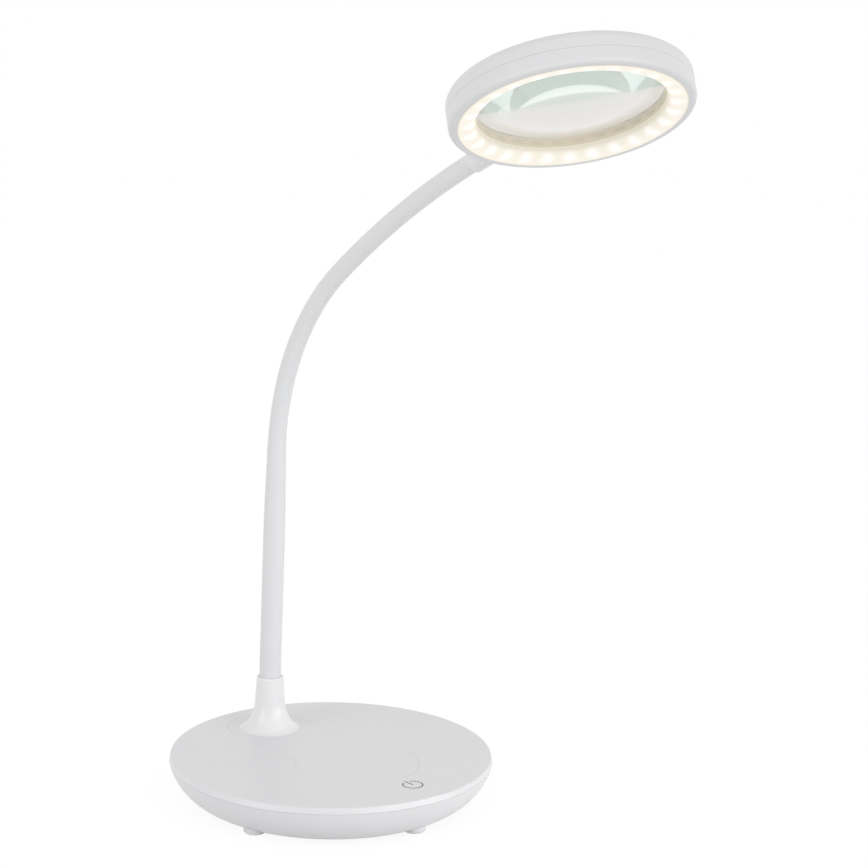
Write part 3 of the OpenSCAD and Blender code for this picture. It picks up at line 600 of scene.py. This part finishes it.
# painted light: the taupe ring is no lamp, yet glows warm, lighter towards the lens, with painted
# reflections of the chips on its wall and painted shade past 46 mm out
taupeRingPaintedLight = {
    "chips": 27.0,
    "firstStep": 0.8,
    "chipRing": 0.0435,
    "chipHeight": 0.008,
    "spotWidth": 0.0042,
    "spotLength": 0.0075,
    "spotRise": 0.0036,
    "bands": [
        (0.0064, (0.2, 0.175, 0.125)),
        (0.008, (0.215, 0.19, 0.14)),
        (0.010, (0.31, 0.295, 0.255)),
    ],
    "edge": (0.046, 0.052),
    "rimShade": (0.02, 0.02, 0.015),
    "spot": (0.27, 0.24, 0.18),
    "body": (0.5, 0.455, 0.38),
    "roughness": 0.4,
}
frostedRimPaintedLight = {  # the lens's ground edge: its pale green glow is painted light, dimmer higher up, and it does not glow at its four clips
    "chips": 4.0,
    "firstStep": 0.5,
    "chipRing": 0.0460,
    "chipHeight": 0.0113,
    "spotWidth": 0.0045,
    "spotLength": 0.0200,
    "spotRise": 0.0200,
    "bands": [(0.0095, (0.62, 0.70, 0.65)), (0.0131, (0.52, 0.60, 0.56))],
    "edge": (0.050, 0.060),
    "rimShade": (0.5, 0.58, 0.53),
    "spot": (0.03, 0.035, 0.03),
    "body": (0.35, 0.39, 0.37),
    "roughness": 0.6,
}
glowGrain = {  # how far the moulded grain of these three drifts
    "tintSpread": 0.04,
    "roughSpread": 0.04,
}


def glowMaterial(name, look):
    material, tree, shader = newMaterial(name)
    inHead = headCoords(tree, addNode(tree, "ShaderNodeTexCoord"))
    glow = addNode(tree, "ShaderNodeGroup", node_tree=chipGlow)
    low, high = look["bands"][0][0], look["bands"][-1][0]
    for socket, value in (("Count", look["chips"]), ("First Step", look["firstStep"]),
                          ("Ring Radius", look["chipRing"]), ("Ring Height", look["chipHeight"]),
                          ("Spot Width", look["spotWidth"]), ("Spot Length", look["spotLength"]),
                          ("Spot Rise", look["spotRise"]), ("Depth Start", low), ("Depth End", high),
                          ("Edge Start", look["edge"][0]), ("Edge End", look["edge"][1])):
        glow.inputs[socket].default_value = value
    ramp = addNode(tree, "ShaderNodeValToRGB")
    stops = ramp.color_ramp.elements
    for index, (height, tint) in enumerate(look["bands"]):
        place = (height - low) / (high - low)
        stop = stops[index] if index < 2 else stops.new(place)
        stop.position = place
        stop.color = (*tint, 1.0)
    tree.links.new(glow.outputs["Depth"], ramp.inputs["Fac"])
    under = ramp.outputs["Color"]
    # glow over the chips and at the outer edge; on the taupe ring these are painted reflections of the
    # chips and painted shade, and the milky ring's edge is painted shade
    for part, tint in (("Spot", "spot"), ("Edge", "rimShade")):
        mix = addNode(tree, "ShaderNodeMix", data_type="RGBA")
        mix.inputs[7].default_value = (*look[tint], 1.0)
        tree.links.new(glow.outputs[part], mix.inputs["Factor"])
        tree.links.new(under, mix.inputs[6])
        under = mix.outputs[2]
    tree.links.new(under, shader.inputs["Emission Color"])
    grain = addNode(tree, "ShaderNodeGroup", node_tree=mouldGrain)
    for side, sign in (("Low", -1.0), ("High", 1.0)):
        tint = [(1.0 + sign * glowGrain["tintSpread"]) * c for c in look["body"]]
        grain.inputs["Tint " + side].default_value = (*tint, 1.0)
        rough = look["roughness"] + sign * glowGrain["roughSpread"]
        grain.inputs["Rough " + side].default_value = rough
    tree.links.new(inHead, glow.inputs["Vector"])
    tree.links.new(inHead, grain.inputs["Vector"])
    tree.links.new(grain.outputs["Color"], shader.inputs["Base Color"])
    tree.links.new(grain.outputs["Roughness"], shader.inputs["Roughness"])
    shader.inputs["Emission Strength"].default_value = 1.0
    return material


finish["lensGlass"] = glassMaterial(lensGlass)
glowLooks = {"milkyRing": milkyRing, "taupeRingPaintedLight": taupeRingPaintedLight, "frostedRimPaintedLight": frostedRimPaintedLight}
for glowName, glowLook in glowLooks.items():
    finish[glowName] = glowMaterial(glowName, glowLook)

slotFinish = {
    "white_shell": "whiteShell",
    "white_sleeve": "whiteSleeve",
    "foot_rubber": "footRubber",
    "ballast_iron": "rawIron",
    "steel": "platedSteel",
    "brass": "brightBrass",
    "green_board": "greenBoard",
    "white_board": "whiteBoard",
    "light_chip": "phosphor",
    "black_plastic": "blackPlastic",
    "black_lead": "blackPlastic",
    "diffuser": "milkyRing",
    "taupe_ring": "taupeRingPaintedLight",
    "lens_glass": "lensGlass",
}
nodeFinish = {  # nodes that differ from their slot: the same white made lighter or darker as painted light and shade, the boot also glossier
    "boot": "whiteBootLit",
    "lower_shell": "whiteHeadShaded",
    "upper_shell": "whiteHeadShaded",
    "head_collar": "whiteCollarLit",
}


def dressNodes():
    slots = {part["node"]: part["material_slot"] for part in frame["record"]["subparts"]}
    for name, node in frame["nodes"].items():
        node.data.materials.clear()
        node.data.materials.append(finish[nodeFinish.get(name, slotFinish[slots[name]])])


dressNodes()
print("finishes on", len(frame["nodes"]), "solids")


def newPiece(name, mesh, finishName):
    mesh.materials.clear()
    mesh.materials.append(finish[finishName])
    piece = bpy.data.objects.new(name, mesh)
    scene.collection.objects.link(piece)
    return piece


turnedPiece = {
    "steps": 256,
    "merge": 1e-7,  # metres
    "collapse": 1e-8,
    "sharpDegrees": 35,
}


def spinProfile(name, profile, place):
    # a closed half section turned about its own Z axis, then put in place
    shape = bmesh.new()
    corners = [shape.verts.new((radius, 0.0, height)) for radius, height in profile]
    edges = [shape.edges.new((a, b)) for a, b in zip(corners, corners[1:] + corners[:1])]
    bmesh.ops.spin(shape, geom=corners + edges, cent=(0, 0, 0), axis=(0, 0, 1), angle=math.tau,
                   steps=turnedPiece["steps"], use_merge=True, use_duplicate=False)
    bmesh.ops.remove_doubles(shape, verts=shape.verts, dist=turnedPiece["merge"])
    bmesh.ops.dissolve_degenerate(shape, edges=shape.edges, dist=turnedPiece["collapse"])
    bmesh.ops.recalc_face_normals(shape, faces=shape.faces)
    for face in shape.faces:
        face.smooth = True
    shape.transform(place)
    mesh = bpy.data.meshes.new(name)
    shape.to_mesh(mesh)
    shape.free()
    mesh.set_sharp_from_angle(angle=math.radians(turnedPiece["sharpDegrees"]))
    return mesh


def arcPoints(centre, radius, startDegrees, endDegrees, count):
    sweep = endDegrees - startDegrees
    turns = [math.radians(startDegrees + sweep * i / count) for i in range(count + 1)]
    return [(centre[0] + radius * math.cos(a), centre[1] + radius * math.sin(a)) for a in turns]


# the lens, smooth enough to bend light without facets
# its lower face curves as strongly as the photograph's reflections show
lensShape = {
    "viewRadius": 0.04335,
    "rimRadius": 0.046,
    "rimLow": 0.0100,
    "rimHigh": 0.0126,
    "lowCrown": 0.0088,
    "highCrown": 0.0038,
    "steps": 64,
    "frostDepth": 0.0002,  # faces this close to the rim are frosted
}


def makeLens(shape):
    radii = [shape["viewRadius"] * i / shape["steps"] for i in range(shape["steps"] + 1)]

    def rise(radius, crown):
        # height of a spherical face over its edge
        sphere = (shape["viewRadius"] ** 2 + crown * crown) / (2 * crown)
        return crown - sphere + math.sqrt(sphere * sphere - radius * radius)

    low = [(r, shape["rimLow"] - rise(r, shape["lowCrown"])) for r in radii]
    high = [(r, shape["rimHigh"] + rise(r, shape["highCrown"])) for r in radii]
    rim = [(shape["rimRadius"], shape["rimLow"]), (shape["rimRadius"], shape["rimHigh"])]
    mesh = spinProfile("lensGlass", low + rim + high[::-1], headPlace)
    lens = newPiece("lensGlass", mesh, "lensGlass")
    mesh.materials.append(finish["frostedRimPaintedLight"])
    away = headPlace.inverted()
    frosted = shape["rimRadius"] - shape["frostDepth"]
    for face in mesh.polygons:
        local = away @ face.center
        face.material_index = 1 if math.hypot(local.x, local.y) > frosted else 0
    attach(lens, "head")
    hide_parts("lens")


makeLens(lensShape)

# the milky light ring with its turn into the view and the two beads at its edge
ringShape = {
    "faceRadius": 0.05165,
    "flangeRadius": 0.0524,
    "lapRadius": 0.0523,  # the face ends in a thin lap on the shell's lip
    "lapLow": -0.0001,
    "lapTop": -0.00001,
    "viewRadius": 0.0435,
    "wall": 0.0012,
    "drop": 0.00025,
    "turnRadius": 0.004,
    "flangeLow": 0.0012,
    "top": 0.0064,
    "beadRadius": 0.0003,
    "beadHeights": (0.0050, 0.0058),
    "turnSteps": 20,
    "innerSteps": 12,
    "beadSteps": 8,
}


def makeMilkyRing(shape):
    view, turn, wall = shape["viewRadius"], shape["turnRadius"], shape["wall"]
    centre = (view + turn, shape["drop"] + turn)
    flangeTop = shape["flangeLow"] + wall
    outside = [(shape["lapRadius"], shape["lapTop"]), (shape["lapRadius"], shape["lapLow"])]
    outside += arcPoints(centre, turn, 270, 180, shape["turnSteps"])
    for height in shape["beadHeights"]:
        outside += arcPoints((view, height), shape["beadRadius"], 270, 90, shape["beadSteps"])
    inside = [(view, shape["top"]), (view + wall, shape["top"])]
    inside += arcPoints(centre, turn - wall, 180, 270, shape["innerSteps"])
    innerRadius = shape["faceRadius"] - wall
    inside += [(innerRadius, shape["drop"] + wall), (innerRadius, flangeTop)]
    flange = [(shape["flangeRadius"], flangeTop), (shape["flangeRadius"], shape["flangeLow"]),
              (shape["faceRadius"], shape["flangeLow"]), (shape["faceRadius"], shape["lapTop"])]
    mesh = spinProfile("milkyRing", outside + inside + flange, headPlace)
    ring = newPiece("milkyRing", mesh, "milkyRing")
    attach(ring, "head")
    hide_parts("diffuser")


makeMilkyRing(ringShape)
print("lens and light ring made")


# tubes along the arm
def newTree(name, inputs):
    tree = bpy.data.node_groups.new(name, "GeometryNodeTree")
    tree.interface.new_socket("Geometry", in_out="INPUT", socket_type="NodeSocketGeometry")
    for socketName, socketType in inputs:
        tree.interface.new_socket(socketName, in_out="INPUT", socket_type=socketType)
    tree.interface.new_socket("Geometry", in_out="OUTPUT", socket_type="NodeSocketGeometry")
    return tree, tree.nodes.new("NodeGroupInput"), tree.nodes.new("NodeGroupOutput")


def runTree(holder, tree, values, meshName):
    # evaluates the tree on an object and keeps the result as a plain mesh
    modifier = holder.modifiers.new(tree.name, "NODES")
    modifier.node_group = tree
    for item in tree.interface.items_tree:
        if item.in_out == "INPUT" and item.name in values:
            modifier[item.identifier] = values[item.name]
    bpy.context.view_layer.update()
    evaluated = holder.evaluated_get(bpy.context.evaluated_depsgraph_get())
    mesh = bpy.data.meshes.new_from_object(evaluated)
    mesh.name = meshName
    holder.modifiers.remove(modifier)
    bpy.data.objects.remove(holder)
    return mesh


def tubeTree():
    tree, start, end = newTree("tubeAlongPath", [
        ("Sides", "NodeSocketInt"),
        ("Material", "NodeSocketMaterial"),
    ])
    section = tree.nodes.new("GeometryNodeCurvePrimitiveCircle")
    section.inputs["Radius"].default_value = 1.0
    radius = tree.nodes.new("GeometryNodeInputRadius")
    sweep = tree.nodes.new("GeometryNodeCurveToMesh")
    smooth = tree.nodes.new("GeometryNodeSetShadeSmooth")
    realize = tree.nodes.new("GeometryNodeRealizeInstances")
    paint = tree.nodes.new("GeometryNodeSetMaterial")
    tree.links.new(start.outputs["Geometry"], sweep.inputs["Curve"])
    tree.links.new(start.outputs["Sides"], section.inputs["Resolution"])
    tree.links.new(section.outputs["Curve"], sweep.inputs["Profile Curve"])
    tree.links.new(radius.outputs["Radius"], sweep.inputs["Scale"])
    tree.links.new(sweep.outputs["Mesh"], smooth.inputs["Geometry"])
    tree.links.new(smooth.outputs["Geometry"], realize.inputs["Geometry"])
    tree.links.new(realize.outputs["Geometry"], paint.inputs["Geometry"])
    tree.links.new(start.outputs["Material"], paint.inputs["Material"])
    tree.links.new(paint.outputs["Geometry"], end.inputs["Geometry"])
    return tree


tubeAlongPath = tubeTree()


def tubePiece(name, rings, setup, finishName):
    # rings are pairs of distance along the arm and radius
    data = bpy.data.curves.new(name + "Path", "CURVE")
    data.dimensions = "3D"
    line = data.splines.new("POLY")
    line.points.add(len(rings) - 1)
    for point, (distance, radius) in zip(line.points, rings):
        point.co = (*armPoint(distance), 1.0)
        point.radius = radius
    holder = bpy.data.objects.new(name + "Path", data)
    scene.collection.objects.link(holder)
    values = {"Sides": setup["sides"], "Material": finish[finishName]}
    mesh = runTree(holder, tubeAlongPath, values, name)
    shape = bmesh.new()
    shape.from_mesh(mesh)
    bmesh.ops.recalc_face_normals(shape, faces=shape.faces)
    middle = armPoint(rings[len(rings) // 2][0])
    nearest = min(shape.faces, key=lambda face: (face.calc_center_median() - middle).length)
    if nearest.normal.dot(nearest.calc_center_median() - middle) < 0.0:
        bmesh.ops.reverse_faces(shape, faces=shape.faces)
    bmesh.ops.solidify(shape, geom=shape.faces, thickness=setup["wall"])
    shape.to_mesh(mesh)
    shape.free()
    mesh.set_sharp_from_angle(angle=math.radians(setup["sharpDegrees"]))
    return newPiece(name, mesh, finishName)


sleeve = {
    "baseRadius": 0.0058,
    "headRadius": 0.0047,
    "taperFrom": 0.105,
    "taperTo": 0.175,
    "from": 0.0025,
    "to": armLength - 0.0703 + 0.0055,  # 5.5 mm inside the collar's mouth
    "wall": 0.0008,
    "sides": 64,
    "step": 0.0015,
    "lipDegrees": [3, 6, 9, 12, 15],
    "sharpDegrees": 40,
}
lead = {
    "radius": 0.0007,
    "from": -0.007,
    "to": armLength - 0.0515,  # inside the head's wall
    "wall": 0.0003,
    "sides": 16,
    "step": 0.003,
    "lipDegrees": [5, 10, 15],
    "sharpDegrees": 40,
}


def sleeveRadius(distance):
    share = (distance - sleeve["taperFrom"]) / (sleeve["taperTo"] - sleeve["taperFrom"])
    share = min(1.0, max(0.0, share))
    share = share * share * (3.0 - 2.0 * share)
    return sleeve["baseRadius"] + (sleeve["headRadius"] - sleeve["baseRadius"]) * share


def leadRadius(distance):
    return lead["radius"]


def stations(start, end, step):
    count = max(2, math.ceil((end - start) / step))
    return [start + (end - start) * i / count for i in range(count + 1)]


def tubeRings(start, end, setup, radiusAt, lipped):
    # a lip rounded about the joint fills the bend's outer side and hides in the next stretch at rest
    rings = [(distance, radiusAt(distance)) for distance in stations(start, end, setup["step"])]
    if lipped:
        radius = radiusAt(end)
        turns = [math.radians(degrees) for degrees in setup["lipDegrees"]]
        rings += [(end + radius * math.sin(turn), radius * math.cos(turn)) for turn in turns]
    return rings


def bendingTube(name, setup, radiusAt, finishName, node):
    # stretches from joint to joint, each riding on a link, and one across each sideways joint, left in
    # place on neither link
    # joints about X have none across them: it drifts off where other joints have turned the arm as well
    joints = frame["joints"]
    pitch = (armLength - armPath["lastJointToHead"] - armPath["firstJoint"]) / (len(joints) - 1)
    stretches = []
    start = setup["from"]
    for index, joint in enumerate(joints):
        middle = armPath["firstJoint"] + pitch * index
        sideways = abs(joint["axis"][0]) < 0.5  # not about X
        reach = pitch / 2 if sideways else 0.0
        stretches.append((start, middle - reach, not sideways, [joint["parent"]]))
        if sideways:
            stretches.append((middle - reach, middle + reach, False, [joint["parent"], joint["child"]]))
        start = middle + reach
    stretches.append((start, setup["to"], False, [joints[-1]["child"]]))
    for index, (low, high, lipped, bodies) in enumerate(stretches):
        rings = tubeRings(low, high, setup, radiusAt, lipped)
        piece = tubePiece(f"{name}{index + 1:02d}", rings, setup, finishName)
        if len(bodies) == 2:
            armPoint(low)
            armPoint(high)
            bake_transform(piece)
        else:
            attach(piece, bodies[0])
        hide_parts(node)


bendingTube("sleeve", sleeve, sleeveRadius, "whiteSleeve", "arm_sleeve")
bendingTube("lead", lead, leadRadius, "blackPlastic", "arm_lead")

# screws under the base, with a cross recess in each head
baseScrew = {
    "count": 4,
    "ring": 0.048,
    "firstDegrees": 45,
    "low": 0.002,
    "headRadius": 0.0027,
    "headHeight": 0.001,
    "headEdge": 0.00025,
    "shankRadius": 0.00125,
    "tip": 0.010,  # from the face of the head
    "slotLength": 0.0030,
    "slotWidth": 0.0008,
    "slotDepth": 0.0007,
    "slotTaper": 0.55,
    "sides": 48,
    "sharpDegrees": 30,
}


def screwMesh(setup):
    # one screw, point up, with the face of its head at z 0
    edge = setup["headEdge"]
    profile = [(setup["headRadius"] - edge, 0.0), (setup["headRadius"], edge),
               (setup["headRadius"], setup["headHeight"]), (setup["shankRadius"], setup["headHeight"]),
               (setup["shankRadius"], setup["tip"])]
    shape = bmesh.new()
    turns = [math.tau * i / setup["sides"] for i in range(setup["sides"])]
    rings = []
    for radius, height in profile:
        corners = [(radius * math.cos(a), radius * math.sin(a), height) for a in turns]
        rings.append([shape.verts.new(corner) for corner in corners])
    for lower, upper in zip(rings, rings[1:]):
        for i in range(setup["sides"]):
            j = (i + 1) % setup["sides"]
            shape.faces.new((lower[i], lower[j], upper[j], upper[i]))
    shape.faces.new(rings[-1])
    long, wide = setup["slotLength"] / 2, setup["slotWidth"] / 2
    quarter = [(long, -wide), (long, wide), (wide, wide)]
    cross = [Matrix.Rotation(math.pi / 2 * i, 2) @ Vector(p) for i in range(4) for p in quarter]
    mouth = [shape.verts.new((p.x, p.y, 0.0)) for p in cross]
    taper, depth = setup["slotTaper"], setup["slotDepth"]
    bottom = [shape.verts.new((p.x * taper, p.y * taper, depth)) for p in cross]
    for i in range(len(mouth)):
        j = (i + 1) % len(mouth)
        shape.faces.new((mouth[i], mouth[j], bottom[j], bottom[i]))
    shape.faces.new(bottom)
    loops = [shape.edges.get((ring[i], ring[(i + 1) % len(ring)])) for ring in (rings[0], mouth)
             for i in range(len(ring))]
    bmesh.ops.triangle_fill(shape, use_beauty=True, use_dissolve=False, edges=loops)
    bmesh.ops.recalc_face_normals(shape, faces=shape.faces)
    mesh = bpy.data.meshes.new("baseScrew")
    shape.to_mesh(mesh)
    shape.free()
    return mesh


def repeatTree():
    tree, start, end = newTree("repeatOnPoints", [
        ("Piece", "NodeSocketObject"),
        ("Material", "NodeSocketMaterial"),
    ])
    info = tree.nodes.new("GeometryNodeObjectInfo")
    copies = tree.nodes.new("GeometryNodeInstanceOnPoints")
    realize = tree.nodes.new("GeometryNodeRealizeInstances")
    paint = tree.nodes.new("GeometryNodeSetMaterial")
    tree.links.new(start.outputs["Piece"], info.inputs["Object"])
    tree.links.new(start.outputs["Geometry"], copies.inputs["Points"])
    tree.links.new(info.outputs["Geometry"], copies.inputs["Instance"])
    tree.links.new(copies.outputs["Instances"], realize.inputs["Geometry"])
    tree.links.new(realize.outputs["Geometry"], paint.inputs["Geometry"])
    tree.links.new(start.outputs["Material"], paint.inputs["Material"])
    tree.links.new(paint.outputs["Geometry"], end.inputs["Geometry"])
    return tree


def makeBaseScrews(setup):
    single = bpy.data.objects.new("baseScrew", screwMesh(setup))
    first, ring, count = math.radians(setup["firstDegrees"]), setup["ring"], setup["count"]
    turns = [first + math.tau * i / count for i in range(count)]
    places = [(ring * math.cos(a), ring * math.sin(a), setup["low"]) for a in turns]
    points = bpy.data.meshes.new("screwPlaces")
    points.from_pydata(places, [], [])
    holder = bpy.data.objects.new("screwPlaces", points)
    scene.collection.objects.link(holder)
    values = {"Piece": single, "Material": finish["platedSteel"]}
    mesh = runTree(holder, repeatTree(), values, "baseScrews")
    bpy.data.objects.remove(single)
    mesh.set_sharp_from_angle(angle=math.radians(setup["sharpDegrees"]))
    piece = newPiece("baseScrews", mesh, "platedSteel")
    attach(piece, "base")
    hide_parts("base_screws")


makeBaseScrews(baseScrew)
print("base screws made")

# the printed touch mark: a ring with a gap towards the arm and a stroke in the gap
touchMark = {
    "centre": (0.0, -0.0645),
    "ringRadius": 0.0051,
    "stroke": 0.00064,
    "gapDegrees": 54,
    "lineFrom": -0.0646,
    "lineTo": -0.0585,
    "thickness": 0.00004,
    "lift": 0.00001,
    "ringSteps": 72,
    "capSteps": 8,
}


def strokeOutline(path, width, capSteps):
    # outline of a stroke with round ends along a row of points
    left, right = [], []
    for index, point in enumerate(path):
        before, after = path[max(0, index - 1)], path[min(len(path) - 1, index + 1)]
        across = (after - before).normalized().orthogonal() * (width / 2)
        left.append(point + across)
        right.append(point - across)

    def cap(centre, tip):
        turns = [-math.pi * i / capSteps for i in range(1, capSteps)]
        return [centre + Matrix.Rotation(turn, 2) @ (tip - centre) for turn in turns]

    return left + cap(path[-1], left[-1]) + right[::-1] + cap(path[0], right[0])


def makeTouchMark(mark):
    centre = Vector(mark["centre"])
    half = math.radians(mark["gapDegrees"] / 2)
    steps = mark["ringSteps"]
    turns = [math.pi / 2 + half + (math.tau - 2 * half) * i / steps for i in range(steps + 1)]
    ring = [centre + Vector((math.cos(a), math.sin(a))) * mark["ringRadius"] for a in turns]
    line = [Vector((centre.x, mark["lineFrom"])), Vector((centre.x, mark["lineTo"]))]
    low = armPath["footHeight"] + mark["lift"]  # just over the top of the base
    shape = bmesh.new()
    for path in (ring, line):
        outline = strokeOutline(path, mark["stroke"], mark["capSteps"])
        corners = [shape.verts.new((p.x, p.y, low)) for p in outline]
        loop = [shape.edges.new((a, b)) for a, b in zip(corners, corners[1:] + corners[:1])]
        bmesh.ops.triangle_fill(shape, use_beauty=True, use_dissolve=False, edges=loop)
    bmesh.ops.recalc_face_normals(shape, faces=shape.faces)
    for face in shape.faces:
        if face.normal.z < 0:
            face.normal_flip()
    top = bmesh.ops.extrude_face_region(shape, geom=shape.faces[:])
    lifted = [item for item in top["geom"] if isinstance(item, bmesh.types.BMVert)]
    bmesh.ops.translate(shape, verts=lifted, vec=(0.0, 0.0, mark["thickness"]))
    bmesh.ops.recalc_face_normals(shape, faces=shape.faces)
    mesh = bpy.data.meshes.new("touchMark")
    shape.to_mesh(mesh)
    shape.free()
    piece = newPiece("touchMark", mesh, "printedBlack")
    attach(piece, "base")


makeTouchMark(touchMark)
print("touch mark printed")
